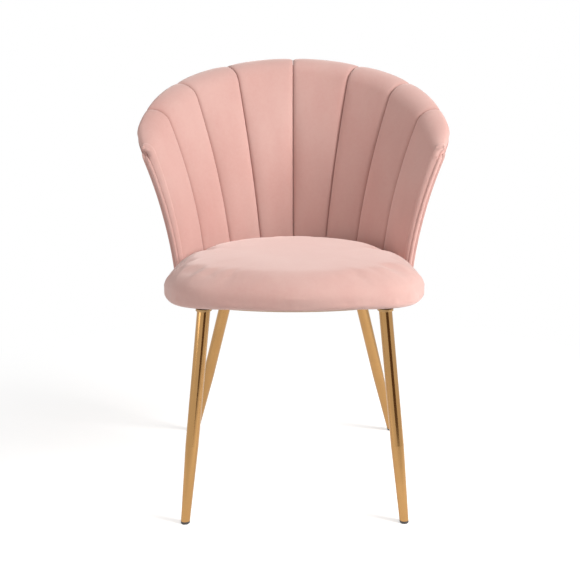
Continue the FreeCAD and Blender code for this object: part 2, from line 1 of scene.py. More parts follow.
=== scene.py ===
"""Scallop back chair: its upholstery, metalwork and studio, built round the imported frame.

Metres. +Z is up, the front of the chair faces -Y, and the origin is on the floor.
Sizes that repeat the solids' are kept in millimetres, as they are there.
"""

import logging
import math
from collections.abc import Callable, Sequence
from dataclasses import dataclass
from enum import Enum

import bmesh
import bpy
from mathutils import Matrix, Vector, noise


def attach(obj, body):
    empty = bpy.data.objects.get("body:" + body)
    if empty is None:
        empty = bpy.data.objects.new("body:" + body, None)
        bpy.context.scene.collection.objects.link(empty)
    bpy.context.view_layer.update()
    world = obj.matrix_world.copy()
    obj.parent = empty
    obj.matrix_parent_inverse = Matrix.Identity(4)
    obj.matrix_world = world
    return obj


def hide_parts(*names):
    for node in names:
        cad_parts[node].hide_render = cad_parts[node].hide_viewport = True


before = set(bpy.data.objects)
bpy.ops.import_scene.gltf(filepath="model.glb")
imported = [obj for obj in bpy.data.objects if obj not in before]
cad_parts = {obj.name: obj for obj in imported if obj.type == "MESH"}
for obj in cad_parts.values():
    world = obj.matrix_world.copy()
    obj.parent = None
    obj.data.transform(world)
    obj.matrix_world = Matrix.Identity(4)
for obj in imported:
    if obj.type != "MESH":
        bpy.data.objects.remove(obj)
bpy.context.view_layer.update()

log = logging.getLogger("chair")

MM = 0.001
BODY = "root"
Pair = tuple[float, float]
Triple = tuple[float, float, float]
Colour = Triple
WHITE = (1.0, 1.0, 1.0, 1.0)
WELD = 2e-6


class Slot(Enum):
    """The record's material slots, one for each finish of the new pieces."""

    VELVET = "velvet"
    DUST_CLOTH = "dust_cloth"


# ---- shader maths ----


@dataclass(frozen=True)
class Socket:
    """A node's output. Arithmetic on it adds the Math nodes that it needs."""

    graph: "Graph"
    output: bpy.types.NodeSocket

    def _math(self, operation: str, *values: "Socket | float") -> "Socket":
        """Adds a Math node.

        Args:
            operation: the node's operation.
            values: its inputs, in order.

        Returns:
            The node's result.
        """
        inputs = dict(enumerate(values))
        return self.graph.node("ShaderNodeMath", {"operation": operation}, inputs)

    def __add__(self, other: "Socket | float") -> "Socket":
        """The sum."""
        return self._math("ADD", self, other)

    def __radd__(self, other: float) -> "Socket":
        """The sum, with the number first."""
        return self._math("ADD", other, self)

    def __sub__(self, other: "Socket | float") -> "Socket":
        """The difference."""
        return self._math("SUBTRACT", self, other)

    def __mul__(self, other: "Socket | float") -> "Socket":
        """The product."""
        return self._math("MULTIPLY", self, other)

    def swing(self, strength: float) -> "Socket":
        """How far noise is from its middle, scaled.

        Args:
            strength: what the distance is multiplied by.

        Returns:
            The scaled distance, which may be below 0.
        """
        return (self - 0.5) * strength

    def clamped(self) -> "Socket":
        """The value, held from 0 to 1."""
        inputs = {"Value": self, "Min": 0.0, "Max": 1.0}
        return self.graph.node("ShaderNodeClamp", {}, inputs)


@dataclass(frozen=True)
class Grain:
    """A noise pattern: its fineness per metre, finer layers, their strength and stretch."""

    scale: float
    detail: float = 2.0
    rough: float = 0.5
    stretch: Triple | None = None


class Graph:
    """The nodes of a material or of the world."""

    def __init__(self, owner: bpy.types.Material | bpy.types.World) -> None:
        """Empties the owner's nodes.

        Args:
            owner: the material or world.
        """
        self.owner = owner
        owner.use_nodes = True
        self.tree = owner.node_tree
        self.tree.nodes.clear()

    @classmethod
    def of_material(cls, name: str) -> "Graph":
        """Starts an empty material.

        Args:
            name: the material's name.

        Returns:
            Its graph.
        """
        return cls(bpy.data.materials.new(name))

    def node(
        self,
        kind: str,
        settings: dict[str, object],
        inputs: dict[str | int, "Socket | float | Colour | tuple"],
        output: str | int = 0,
    ) -> Socket | None:
        """Adds a node.

        Args:
            kind: the node's type.
            settings: attributes to set first.
            inputs: values or links, by the socket's name or number.
            output: the output to return.

        Returns:
            The chosen output, or None for a node that has no outputs.
        """
        made = self.tree.nodes.new(kind)
        for key, value in settings.items():
            setattr(made, key, value)
        for key, value in inputs.items():
            if isinstance(value, Socket):
                self.tree.links.new(value.output, made.inputs[key])
            else:
                made.inputs[key].default_value = value
        return Socket(self, made.outputs[output]) if len(made.outputs) else None

    def place(self) -> Socket:
        """The point, in the piece's own coordinates."""
        return self.node("ShaderNodeTexCoord", {}, {}, "Object")

    def grain(self, kind: Grain) -> Socket:
        """Noise around 0.5.

        Args:
            kind: the pattern.

        Returns:
            The noise's value.
        """
        at = self.place()
        if kind.stretch:
            at = self.node("ShaderNodeMapping", {}, {"Vector": at, "Scale": kind.stretch})
        inputs = {"Vector": at, "Scale": kind.scale, "Detail": kind.detail, "Roughness": kind.rough}
        return self.node("ShaderNodeTexNoise", {}, inputs)

    def mixed(self, share: Socket, first: "Socket | Colour", second: "Socket | Colour") -> Socket:
        """A colour between two others.

        Args:
            share: how much of the second there is, from 0 to 1.
            first: the colour at 0.
            second: the colour at 1.

        Returns:
            The mixed colour.
        """
        ends = [c if isinstance(c, Socket) else (*c, 1.0) for c in (first, second)]
        inputs = {0: share, 6: ends[0], 7: ends[1]}
        return self.node("ShaderNodeMix", {"data_type": "RGBA"}, inputs, 2)

    def bumped(self, height: Socket, strength: float, depth: float) -> Socket:
        """A normal that follows a height.

        Args:
            height: the height, from 0 to 1.
            strength: how much of it shows.
            depth: what a height of 1 stands for, in metres.

        Returns:
            The normal.
        """
        inputs = {"Height": height, "Strength": strength, "Distance": depth}
        return self.node("ShaderNodeBump", {}, inputs, "Normal")

    def emission(self, colour: Sequence[float], strength: float = 1.0) -> Socket:
        """A shader that glows evenly.

        Args:
            colour: its colour, with alpha.
            strength: how strongly it glows.

        Returns:
            The shader.
        """
        return self.node("ShaderNodeEmission", {}, {"Color": colour, "Strength": strength})

    def finish(self, surface: Socket) -> bpy.types.Material | bpy.types.World:
        """Links a shader to the output.

        Args:
            surface: the shader.

        Returns:
            The finished material or world.
        """
        kind = "Material" if isinstance(self.owner, bpy.types.Material) else "World"
        self.node("ShaderNodeOutput" + kind, {}, {"Surface": surface})
        return self.owner

    def surfaced(
        self, colour: Socket, rough: Socket, normal: Socket, fixed: dict[str, object] | None = None
    ) -> bpy.types.Material:
        """Finishes a material with a Principled shader.

        Args:
            colour: its base colour.
            rough: its roughness.
            normal: its normal.
            fixed: what is the same all over.

        Returns:
            The finished material.
        """
        inputs = {"Base Color": colour, "Roughness": rough, "Normal": normal, **(fixed or {})}
        return self.finish(self.node("ShaderNodeBsdfPrincipled", {}, inputs))


# ---- finishes ----


@dataclass(frozen=True)
class Velvet:
    """Short-pile velvet that is lighter where the pile is brushed up, and darkened by painted shade
    along its seams.
    """

    name: str = "blush_velvet"
    deep: Colour = (0.550, 0.290, 0.255)
    pale: Colour = (0.635, 0.420, 0.380)
    # The seam colour is painted shade: mixed in along the sewn seams, it darkens the velvet where
    # the grooves fall into shade.
    seam: Colour = (0.24, 0.075, 0.060)
    sheen: float = 0.65
    sheen_spread: float = 0.55
    sheen_tint: Colour = (1.0, 0.90, 0.87)
    brushing: Grain = Grain(9.0, 3.0, 0.55, (1.0, 1.0, 0.45))
    pile: Grain = Grain(1500.0, 2.0, 0.6)
    nap: Grain = Grain(160.0)
    # How much of the painted seam shade is mixed in at a seam.
    seam_shade_share: float = 0.55

    def paint(self) -> bpy.types.Material:
        """Makes the material."""
        graph = Graph.of_material(self.name)
        brushed, pile, nap = (graph.grain(kind) for kind in (self.brushing, self.pile, self.nap))
        share = (brushed.swing(1.1) + 0.5 + pile.swing(0.35) + nap.swing(0.25)).clamped()
        cloth = graph.mixed(share, self.deep, self.pale)
        # Painted shade: the seam attribute darkens the velvet towards the seam colour along the
        # sewn seams.
        seam_shade = graph.node("ShaderNodeAttribute", {"attribute_name": "seam"}, {}, "Fac")
        colour = graph.mixed((seam_shade * self.seam_shade_share).clamped(), cloth, self.seam)
        normal = graph.bumped(pile * 0.7 + nap * 0.3, 0.35, 0.0005)
        fixed = {
            "Specular IOR Level": 0.12,
            "Sheen Weight": self.sheen,
            "Sheen Roughness": self.sheen_spread,
            "Sheen Tint": (*self.sheen_tint, 1.0),
        }
        return graph.surfaced(colour, 0.86 + pile.swing(0.16), normal, fixed)


@dataclass(frozen=True)
class Plating:
    """Satin plated tube, with a faint brushed grain round it."""

    name: str = "satin_gold"
    metal: Colour = (0.48, 0.272, 0.108)
    dull: Colour = (0.41, 0.230, 0.088)
    rough: float = 0.15
    brushing: Grain = Grain(260.0, 3.0, 0.6, (1.0, 1.0, 9.0))
    clouding: Grain = Grain(22.0, 3.0, 0.6)

    def paint(self) -> bpy.types.Material:
        """Makes the material."""
        graph = Graph.of_material(self.name)
        brush, cloud = graph.grain(self.brushing), graph.grain(self.clouding)
        colour = graph.mixed((cloud * 1.2 - 0.1).clamped(), self.metal, self.dull)
        rough = self.rough + brush.swing(0.10) + cloud.swing(0.08)
        normal = graph.bumped(brush, 0.05, 0.0002)
        return graph.surfaced(colour, rough, normal, {"Metallic": 1.0})


@dataclass(frozen=True)
class Lacquer:
    """Lacquered flat steel, with an even orange-peel and scuffs."""

    name: str
    paint_colour: Colour
    scuffed: Colour
    metallic: float = 0.7
    rough: float = 0.38
    peel: Grain = Grain(420.0)
    scuffs: Grain = Grain(55.0, 5.0, 0.7)

    def paint(self) -> bpy.types.Material:
        """Makes the material."""
        graph = Graph.of_material(self.name)
        scuff = graph.grain(self.scuffs)
        colour = graph.mixed(((scuff - 0.52) * 5.0).clamped(), self.paint_colour, self.scuffed)
        normal = graph.bumped(graph.grain(self.peel), 0.10, 0.0002)
        rough = self.rough + scuff.swing(0.25)
        return graph.surfaced(colour, rough, normal, {"Metallic": self.metallic})


@dataclass(frozen=True)
class Plywood:
    """Sanded plywood: a long grain, and the layers where the edge shows."""

    name: str = "birch_ply"
    light: Colour = (0.66, 0.47, 0.27)
    dark: Colour = (0.42, 0.26, 0.13)
    fibres: Grain = Grain(3.0, 5.0, 0.6, (60.0, 4.0, 60.0))
    pores: Grain = Grain(2.0, 2.0, 0.5, (500.0, 30.0, 500.0))

    def paint(self) -> bpy.types.Material:
        """Makes the material."""
        graph = Graph.of_material(self.name)
        fibre, pores = graph.grain(self.fibres), graph.grain(self.pores)
        layers = graph.node(
            "ShaderNodeTexWave",
            {"wave_type": "BANDS", "bands_direction": "Z"},
            {"Vector": graph.place(), "Scale": 180.0, "Distortion": 0.6},
            "Fac",
        )
        share = (fibre * 0.8 + pores * 0.25 + layers * 0.25 - 0.15).clamped()
        colour = graph.mixed(share, self.light, self.dark)
        normal = graph.bumped(fibre * 0.5 + pores * 0.5, 0.25, 0.0004)
        return graph.surfaced(colour, 0.62 + fibre.swing(0.2), normal)


@dataclass(frozen=True)
class Moulded:
    """Moulded plastic with a fine spark-eroded grain."""

    name: str = "glide_grey"
    body: Colour = (0.055, 0.050, 0.047)
    scuffed: Colour = (0.14, 0.13, 0.12)
    erosion: Grain = Grain(1800.0)
    scuffs: Grain = Grain(140.0, 4.0, 0.7)

    def paint(self) -> bpy.types.Material:
        """Makes the material."""
        graph = Graph.of_material(self.name)
        scuff = graph.grain(self.scuffs)
        colour = graph.mixed(scuff.swing(3.0).clamped(), self.body, self.scuffed)
        normal = graph.bumped(graph.grain(self.erosion), 0.3, 0.0002)
        return graph.surfaced(colour, 0.5 + scuff.swing(0.3), normal)


@dataclass(frozen=True)
class SpunCloth:
    """Non-woven cloth: pressed fibres with a grid of bonded dots."""

    name: str = "dust_cloth_black"
    body: Colour = (0.012, 0.012, 0.013)
    fibre: Colour = (0.055, 0.055, 0.058)
    laid: Grain = Grain(900.0, 4.0, 0.75, (1.0, 2.6, 1.0))

    def paint(self) -> bpy.types.Material:
        """Makes the material."""
        graph = Graph.of_material(self.name)
        strands = graph.grain(self.laid)
        dots = graph.node(
            "ShaderNodeTexVoronoi",
            {"feature": "F1"},
            {"Vector": graph.place(), "Scale": 420.0, "Randomness": 0.15},
            "Distance",
        )
        colour = graph.mixed(((strands - 0.42) * 3.0).clamped(), self.body, self.fibre)
        normal = graph.bumped(strands * 0.5 + dots * 0.5, 0.5, 0.0005)
        rough = 0.85 + strands.swing(0.2)
        return graph.surfaced(colour, rough, normal, {"Specular IOR Level": 0.25})


# ---- mesh tools ----


def shaped_grid(rings: Sequence[Sequence[Vector]]) -> bmesh.types.BMesh:
    """A grid whose corners are moved to their places.

    Args:
        rings: the points of each column of corners.

    Returns:
        The grid.
    """
    columns, rows = len(rings) - 1, len(rings[0]) - 1
    bm = bmesh.new()
    bmesh.ops.create_grid(bm, x_segments=columns, y_segments=rows, size=0.5)
    for vert in bm.verts:
        column = round((vert.co.x + 0.5) * columns)
        row = round((vert.co.y + 0.5) * rows)
        vert.co = rings[column][row]
    return bm


def close_up(bm: bmesh.types.BMesh) -> None:
    """Welds a wrapped grid, fills its ends and turns its faces outwards.

    Args:
        bm: the mesh.
    """
    bmesh.ops.remove_doubles(bm, verts=bm.verts[:], dist=WELD)
    open_edges = [edge for edge in bm.edges if edge.is_boundary]
    if open_edges:
        filled = bmesh.ops.holes_fill(bm, edges=open_edges, sides=0)["faces"]
        bmesh.ops.triangulate(bm, faces=filled)
    bmesh.ops.recalc_face_normals(bm, faces=bm.faces[:])


def to_object(bm: bmesh.types.BMesh, name: str) -> bpy.types.Object:
    """Makes a smooth object of a mesh that is in place.

    Args:
        bm: the mesh; it is freed.
        name: the object's name.

    Returns:
        The object, at the origin.
    """
    mesh = bpy.data.meshes.new(name)
    bm.to_mesh(mesh)
    bm.free()
    mesh.shade_smooth()
    made = bpy.data.objects.new(name, mesh)
    bpy.context.scene.collection.objects.link(made)
    return made


def dress(piece: bpy.types.Object, material: bpy.types.Material, slot: Slot) -> bpy.types.Object:
    """Gives a new piece its material and the body it rides on.

    Args:
        piece: the piece.
        material: its material.
        slot: not used.

    Returns:
        The piece.
    """
    piece.data.materials.clear()
    piece.data.materials.append(material)
    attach(piece, BODY)
    return piece


def store_seam_shade(piece: bpy.types.Object, seam_shade: Callable[[Vector], float]) -> None:
    """Stores how close to a seam each corner is, for the painted shade that darkens the velvet
    there.

    Args:
        piece: the piece.
        seam_shade: gives 1 in a seam and 0 away from it.
    """
    # This attribute sets where painted shade darkens the velvet along the seams.
    layer = piece.data.attributes.new("seam", "FLOAT", "POINT")
    layer.data.foreach_set("value", [seam_shade(vert.co) for vert in piece.data.vertices])


def blend_three(share: float, rear: float, side: float, arm: float) -> float:
    """A value that runs smoothly from the rear seam over the side to the arm.

    Args:
        share: 0 at the rear, 1 at the arm.
        rear: the value at 0.
        side: the value half way.
        arm: the value at 1.

    Returns:
        The value there.
    """
    rear_part = 2 * (share - 0.5) * (share - 1)
    side_part = -4 * share * (share - 1)
    arm_part = 2 * share * (share - 0.5)
    return rear_part * rear + side_part * side + arm_part * arm


def lerp(start: float, end: float, share: float) -> float:
    """A value part of the way from one to another."""
    return start + (end - start) * share


def ramp(value: float, start: float, length: float) -> float:
    """0 up to a start, then a rise to 1 over a length."""
    return min(1.0, max(0.0, (value - start) / length))


def between(start: Pair, end: Pair, share: float) -> Pair:
    """A point part of the way from one to another."""
    return lerp(start[0], end[0], share), lerp(start[1], end[1], share)


def curve_point(start: Pair, bend: Pair, end: Pair, share: float) -> Pair:
    """A point of the quadratic curve that bends towards a third point.

    Args:
        start: where the curve starts.
        bend: where it bends to.
        end: where it ends.
        share: how far along the point is.

    Returns:
        The point.
    """
    return between(between(start, bend, share), between(bend, end, share), share)


# ---- the barrel back's form ----


@dataclass(frozen=True)
class BackForm:
    """The back's sizes, in millimetres and degrees, at its rear, sides and arms."""

    overall_depth: float = 534.0
    rim_swell: float = 1.6
    base_radius: float = 232.0
    base_level: float = 415.0
    base_angles: Triple = (0.0, 32.7, 67.5)
    neck_radii: Triple = (298.0, 289.5, 276.5)
    neck_angles: Triple = (0.0, 40.9, 71.0)
    neck_heights: Triple = (773.0, 728.0, 630.0)
    neck_leans: Triple = (9.0, 17.5, 19.5)
    lip_radii: Triple = (31.5, 40.0, 32.0)
    pad_bases: Triple = (22.0, 16.0, 6.0)
    pad_necks: Triple = (24.0, 20.0, 13.0)
    lip_turn: float = 98.0
    nose_radius: float = 9.0
    nose_turn: float = 200.0
    arm_tip_draw: float = 0.36
    arm_tip_power: float = 1.5
    stations: int = 8
    board_top: float = 400.5
    skirt: float = 376.5
    arm_nose: float = 7.0
    shell: float = 6.0
    panel: float = 5.0
    soft_gap: float = 0.4
    piping_diameter: float = 6.4
    piping_gap: float = 0.8
    piping_room: float = 1.6


class Station:
    """One upright plane through the back, and the profile that lies in it.

    A profile point is a pair in millimetres: its distance out along the plane,
    and its height. A depth is counted from the seam's line into the padding.
    """

    def __init__(self, form: BackForm, number: float) -> None:
        """Works out the profile.

        Args:
            form: the back's sizes.
            number: 0 at the rear seam, 8 at the left arm's front edge, -8 at the right's.
        """
        share = abs(number) / form.stations
        self.form = form
        self.side = -1 if number < 0 else 1
        base_angle = math.radians(blend_three(share, *form.base_angles))
        neck_angle = math.radians(blend_three(share, *form.neck_angles))
        neck_radius = blend_three(share, *form.neck_radii)
        base = form.base_radius
        self.base = (base * math.sin(base_angle), base * math.cos(base_angle))
        across = neck_radius * math.sin(neck_angle) - self.base[0]
        back = neck_radius * math.cos(neck_angle) - self.base[1]
        self.reach = math.hypot(across, back)
        self.way = (across / self.reach, back / self.reach)
        skew = math.atan2(across, back) - (base_angle + neck_angle) / 2
        self.slant = 1 / math.cos(skew)
        self.neck_z = blend_three(share, *form.neck_heights)
        self.lean = math.radians(blend_three(share, *form.neck_leans))
        self.lip = blend_three(share, *form.lip_radii)
        near_tip = max(0.0, abs(number) - form.stations + 1) ** form.arm_tip_power
        self.lip_share = 1 - form.arm_tip_draw * near_tip
        self.pad_base = blend_three(share, *form.pad_bases)
        self.pad_neck = blend_three(share, *form.pad_necks)
        rise = self.neck_z - form.base_level
        chord_lean = math.atan2(self.reach, rise)
        self.foot_lean = 2 * chord_lean - self.lean
        half_turn = (self.lean - self.foot_lean) / 2
        self.radius = math.hypot(self.reach, rise) / 2 / math.sin(half_turn)

    def face(self, height: float, depth: float) -> Pair:
        """The face at a height, moved in by a depth."""
        lean = math.asin((height - self.form.base_level) / self.radius + math.sin(self.foot_lean))
        out = self.radius * (math.cos(self.foot_lean) - math.cos(lean))
        return out + depth * self.slant / math.cos(lean), height

    def neck(self, depth: float) -> Pair:
        """The end of the face, where the lip starts, moved in by a depth."""
        deep = depth * self.slant
        return self.reach + deep * math.cos(self.lean), self.neck_z - deep * math.sin(self.lean)

    def lip_point(self, turn: float, depth: float) -> Pair:
        """The lip where the profile has turned that far from upright, in radians."""
        radius = self.lip - depth * self.slant
        over = self.lip * math.cos(self.lean) - radius * math.cos(turn)
        height = self.neck_z - self.lip * math.sin(self.lean) + radius * math.sin(turn)
        return self.reach + over * self.lip_share, height

    def nose_point(self, turn: float, swell: float = 0.0) -> Pair:
        """The small arc that ends the lip, swollen by an amount."""
        start = math.radians(self.form.lip_turn)
        out, height = self.lip_point(start, 0.0)
        nose = self.form.nose_radius
        over = nose * math.cos(start) - (nose + swell) * math.cos(turn)
        rise = (nose + swell) * math.sin(turn) - nose * math.sin(start)
        return out + over * self.lip_share, height + rise

    def nose_end(self) -> Pair:
        """The underside of the nose, above the piping."""
        return self.nose_point(math.radians(self.form.nose_turn))

    def piping_point(self) -> Pair:
        """The middle of the piping under the nose."""
        radius = self.form.piping_diameter / 2
        out, height = self.nose_end()
        return out - radius / 3, height - radius - self.form.piping_gap

    def place(self, point: Pair, forward: float = 0.0) -> Vector:
        """The model's point, in metres.

        Args:
            point: the profile point.
            forward: how far it is moved towards the chair's front.

        Returns:
            The point in the row frame.
        """
        x = self.base[0] + self.way[0] * point[0] + self.way[1] * forward
        y = self.base[1] + self.way[1] * point[0] - self.way[0] * forward
        return Vector((self.side * x, barrel_y(self.form) + y, point[1])) * MM


_BARREL: dict[BackForm, float] = {}


def barrel_y(form: BackForm) -> float:
    """Where the barrel's middle stands, so that the rim ends at the box's rear.

    Args:
        form: the back's sizes.

    Returns:
        Its distance behind the origin, in millimetres.
    """
    if form not in _BARREL:
        reach = 0.0
        for number in range(form.stations + 1):
            station = Station(form, number)
            reach = max(reach, station.base[1] + station.way[1] * station.nose_point(math.pi)[0])
        _BARREL[form] = form.overall_depth / 2 - reach - form.rim_swell
    return _BARREL[form]


@dataclass(frozen=True)
class ChannelledBack:
    """The eight sewn channels, the outer panel and the piping. Millimetres."""

    form: BackForm
    velvet: bpy.types.Material
    across: int = 26
    face_rows: int = 46
    lip_rows: int = 22
    nose_rows: int = 10
    under_rows: int = 8
    back_rows: int = 12
    crown_face: float = 7.0
    crown_ends: float = 2.2
    crown_power: float = 3.2
    channel_width: float = 72.0
    seam_depth: float = 3.0
    seam_width: float = 1.3
    seam_slit: float = 0.22
    # How far the painted seam shade reaches to either side of a seam.
    seam_shade_reach: float = 0.9
    pucker: float = 0.35
    pucker_fall: float = 6.0
    pucker_least: float = 0.02
    pucker_scales: Triple = (12.0, 12.0, 75.0)
    ripple: float = 0.55
    ripple_rise: float = 1.5
    ripple_scale: float = 9.0
    fine_ripple: float = 0.4
    fine_ripple_scale: float = 23.0
    arm_steps: int = 8
    arm_inset: float = 0.92
    nose_draw: float = 7.5
    nose_power: float = 1.5
    under_rise: float = 1.0
    panel_forward: float = 4.5
    panel_ripple: float = 0.35
    panel_ripple_scale: float = 14.0
    panel_steps: int = 5
    panel_rows: int = 30
    flare_rows: int = 10
    flare_bend: float = 0.45
    edge_steps: int = 2
    edge_ease: float = 1.9
    edge_angle: float = 50.0
    piping_plump: float = 1.3
    piping_forward: float = 1.5
    piping_steps: int = 4
    arm_line_steps: int = 12

    def profile(self, station: Station, puff: float, dip: float, inset: float) -> list[Pair]:
        """The closed profile of a channel's padding.

        Args:
            station: the plane that it lies in.
            puff: how far it is crowned there, from 0 at a seam to 1.
            dip: how deep the sewn seam pulls it in.
            inset: how far it is drawn in round an arm's front edge, as a share.

        Returns:
            Its points, from the face's bottom up, over the lip and down behind.
        """
        form = station.form
        lip_end = math.radians(form.lip_turn)
        nose_end = math.radians(form.nose_turn)
        points = []
        for row in range(self.face_rows):
            share = row / self.face_rows
            height = lerp(form.board_top, station.neck_z, share)
            crown = self.crown_ends + (self.crown_face - self.crown_ends) * 4 * share * (1 - share)
            thick = lerp(station.pad_base, station.pad_neck, share)
            points.append(station.face(height, dip - crown * puff + thick * inset))
        ends = dip - self.crown_ends * puff + station.pad_neck * inset
        lip_in = min(ends, self.nose_draw)
        for row in range(self.lip_rows):
            share = row / self.lip_rows
            turn = lerp(station.lean, lip_end, share)
            points.append(station.lip_point(turn, lerp(ends, lip_in, min(1.0, 2 * share))))
        for row in range(self.nose_rows):
            share = row / self.nose_rows
            swell = -lip_in * (1 - share) ** self.nose_power
            points.append(station.nose_point(lerp(lip_end, nose_end, share), swell))
        under = station.nose_end()
        neck = station.neck(station.pad_neck)
        over = (under[1] - neck[1]) * math.tan(station.lean)
        bend = (neck[0] + over, under[1] + self.under_rise)
        for row in range(self.under_rows):
            points.append(curve_point(under, bend, neck, row / self.under_rows))
        for row in range(self.back_rows + 1):
            share = 1 - row / self.back_rows
            height = lerp(form.board_top, neck[1], share)
            points.append(station.face(height, lerp(station.pad_base, station.pad_neck, share)))
        points.append(points[0])
        return points

    def uneven(self, point: Vector, out: Vector, strength: float, near_seam: float) -> Vector:
        """Moves a point by the stuffing's unevenness and the seam's puckers.

        Args:
            point: the point.
            out: the way that the padding swells there.
            strength: how much unevenness shows, from 0 to 1.
            near_seam: 1 beside a seam, falling to 0.

        Returns:
            The moved point.
        """
        fine = noise.noise(point * self.fine_ripple_scale)
        slow = noise.noise(point * self.ripple_scale) + self.fine_ripple * fine
        scaled = [at * scale for at, scale in zip(point, self.pucker_scales)]
        tuck = noise.noise(Vector(scaled))
        return point + out * MM * (self.ripple * slow * strength + self.pucker * tuck * near_seam)

    def channel(self, index: int) -> bpy.types.Object:
        """Builds one channel.

        Args:
            index: 1 at the sitter's right arm, 8 at the left.

        Returns:
            The channel.
        """
        first = 2 * (index - 1) - self.form.stations
        columns = self._channel_columns(first)
        rings = []
        for station, puff, dip, inset, forward in columns:
            profile = self.profile(station, puff, dip, inset)
            ring = [station.place(point, forward) for point in profile]
            out = (station.place((-1.0, 0.0)) - station.place((0.0, 0.0))).normalized()
            near = math.exp(-puff * self.pucker_fall) if puff > self.pucker_least else 0.0
            strength = min(1.0, puff * self.ripple_rise)
            moved = [self.uneven(point, out, strength, near) for point in ring[:-1]]
            rings.append([*moved, moved[0]])
        bm = shaped_grid(rings)
        close_up(bm)
        piece = to_object(bm, "channel_%d" % index)
        # Stores where painted shade darkens the velvet along the seams.
        self._shade_channel_seams(piece, first)
        dress(piece, self.velvet, Slot.VELVET)
        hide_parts("back_channel_%d" % index)
        return piece

    def _channel_columns(self, first: int) -> list[tuple[Station, float, float, float, float]]:
        """The upright columns that a channel is built of.

        Args:
            first: the station of its first seam.

        Returns:
            Each column's station, puff, dip, inset and how far forward it is moved.
        """
        width = self.channel_width
        slit = self.seam_slit / width
        columns = []
        for step in range(self.across + 1):
            share = (1 - math.cos(math.pi * step / self.across)) / 2
            number = first + 2 * lerp(slit, 1 - slit, share)
            puff = 1 - abs(2 * share - 1) ** self.crown_power
            left = share * width if first > -self.form.stations else width
            right = (1 - share) * width if first + 2 < self.form.stations else width
            dip = self.seam_depth * math.exp(-min(left, right) / self.seam_width)
            columns.append((Station(self.form, number), puff, dip, 0.0, 0.0))
        for end, at_front in ((first, True), (first + 2, False)):
            if abs(end) != self.form.stations:
                continue
            station = Station(self.form, end)
            nose = []
            for step in range(1, self.arm_steps + 1):
                turn = math.pi / 2 * step / self.arm_steps
                inset = self.arm_inset * (1 - math.cos(turn))
                nose.append((station, 0.0, 0.0, inset, self.form.arm_nose * math.sin(turn)))
            columns = nose[::-1] + columns if at_front else columns + nose
        return columns

    def _shade_channel_seams(self, piece: bpy.types.Object, first: int) -> None:
        """Marks the corners that lie at the channel's sewn edges, where painted shade darkens the
        velvet.

        Args:
            piece: the channel.
            first: the station of its first seam.
        """
        ends = [n for n in (first, first + 2) if abs(n) != self.form.stations]
        planes = []
        for number in ends:
            station = Station(self.form, number)
            origin = station.place((0.0, 0.0))
            along = station.place((1.0, 0.0)) - origin
            planes.append((origin, Vector((along.y, -along.x, 0.0)).normalized()))

        def seam_shade(point: Vector) -> float:
            """How close the point is to a seam's plane, which sets how much painted shade it gets.
            """
            gaps = [abs((point - origin).dot(normal)) for origin, normal in planes]
            return math.exp(-min(gaps, default=1.0) / (self.seam_shade_reach * MM))

        store_seam_shade(piece, seam_shade)

    def panel_profile(self, station: Station) -> list[Pair]:
        """The outer panel's closed section.

        Args:
            station: the plane that it lies in.

        Returns:
            Its points, up the outer face and down the inner one.
        """
        form = station.form
        foot = station.pad_base + 2 * form.soft_gap + form.shell
        neck = station.pad_neck + 2 * form.soft_gap + form.shell
        nose = station.nose_end()
        top = nose[1] - form.piping_diameter - form.piping_room
        outer, inner = [], []
        walls = ((form.panel, nose[0], outer), (0.0, nose[0] - form.panel, inner))
        for thick, top_out, side in walls:
            end = station.neck(neck + thick)
            for row in range(self.panel_rows):
                share = row / self.panel_rows
                height = lerp(form.skirt, end[1], share)
                side.append(station.face(height, lerp(foot, neck, share) + thick))
            over = (top - end[1]) * self.flare_bend * math.tan(station.lean)
            bend = (end[0] + over, lerp(end[1], top, self.flare_bend))
            for row in range(self.flare_rows + 1):
                side.append(curve_point(end, bend, (top_out, top), row / self.flare_rows))
        return outer + inner[::-1] + [outer[0]]

    def panel(self) -> bpy.types.Object:
        """Builds the outer panel, with eased edges.

        Returns:
            The panel.
        """
        last = float(self.form.stations)
        count = 2 * self.form.stations * self.panel_steps
        columns = [(step / self.panel_steps - last, 0.0) for step in range(count + 1)]
        steps = range(1, self.edge_steps + 1)
        edge = [self.panel_forward * step / self.edge_steps for step in steps]
        columns = [(-last, f) for f in edge[::-1]] + columns + [(last, f) for f in edge]
        rings = []
        for number, forward in columns:
            station = Station(self.form, number)
            out = (station.place((1.0, 0.0)) - station.place((0.0, 0.0))).normalized()
            ring = [station.place(point, forward) for point in self.panel_profile(station)]
            half = len(ring) // 2
            moved = ring[:-1]
            for row, point in enumerate(moved[:half]):
                swell = noise.noise(point * self.panel_ripple_scale)
                moved[row] = point + out * MM * self.panel_ripple * swell
            rings.append([*moved, moved[0]])
        bm = shaped_grid(rings)
        close_up(bm)
        piece = to_object(bm, "outer_panel")
        ease = piece.modifiers.new("eased_edges", "BEVEL")
        ease.width = self.edge_ease * MM
        ease.segments = 3
        ease.limit_method = "ANGLE"
        ease.angle_limit = math.radians(self.edge_angle)
        dress(piece, self.velvet, Slot.VELVET)
        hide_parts("outer_back_panel")
        return piece

    def arm_line(self, end: int) -> list[Vector]:
        """The piping's middle line up an arm's front edge.

        Args:
            end: the arm's station.

        Returns:
            Its points, from the seat upwards.
        """
        station = Station(self.form, end)
        forward = self.form.piping_diameter / 2 + self.form.soft_gap
        points = []
        for step in range(self.arm_line_steps):
            share = step / self.arm_line_steps
            height = lerp(self.form.board_top, station.neck_z, share)
            depth = lerp(station.pad_base, station.pad_neck, share) + forward
            ahead = forward + self.piping_forward
            points.append(station.place(station.face(height, depth), ahead))
        top = station.place(station.neck(station.pad_neck + forward), forward)
        inner = Station(self.form, end - station.side)
        rim = inner.place(inner.piping_point())
        return [*points, top, (top + rim) * 0.5]

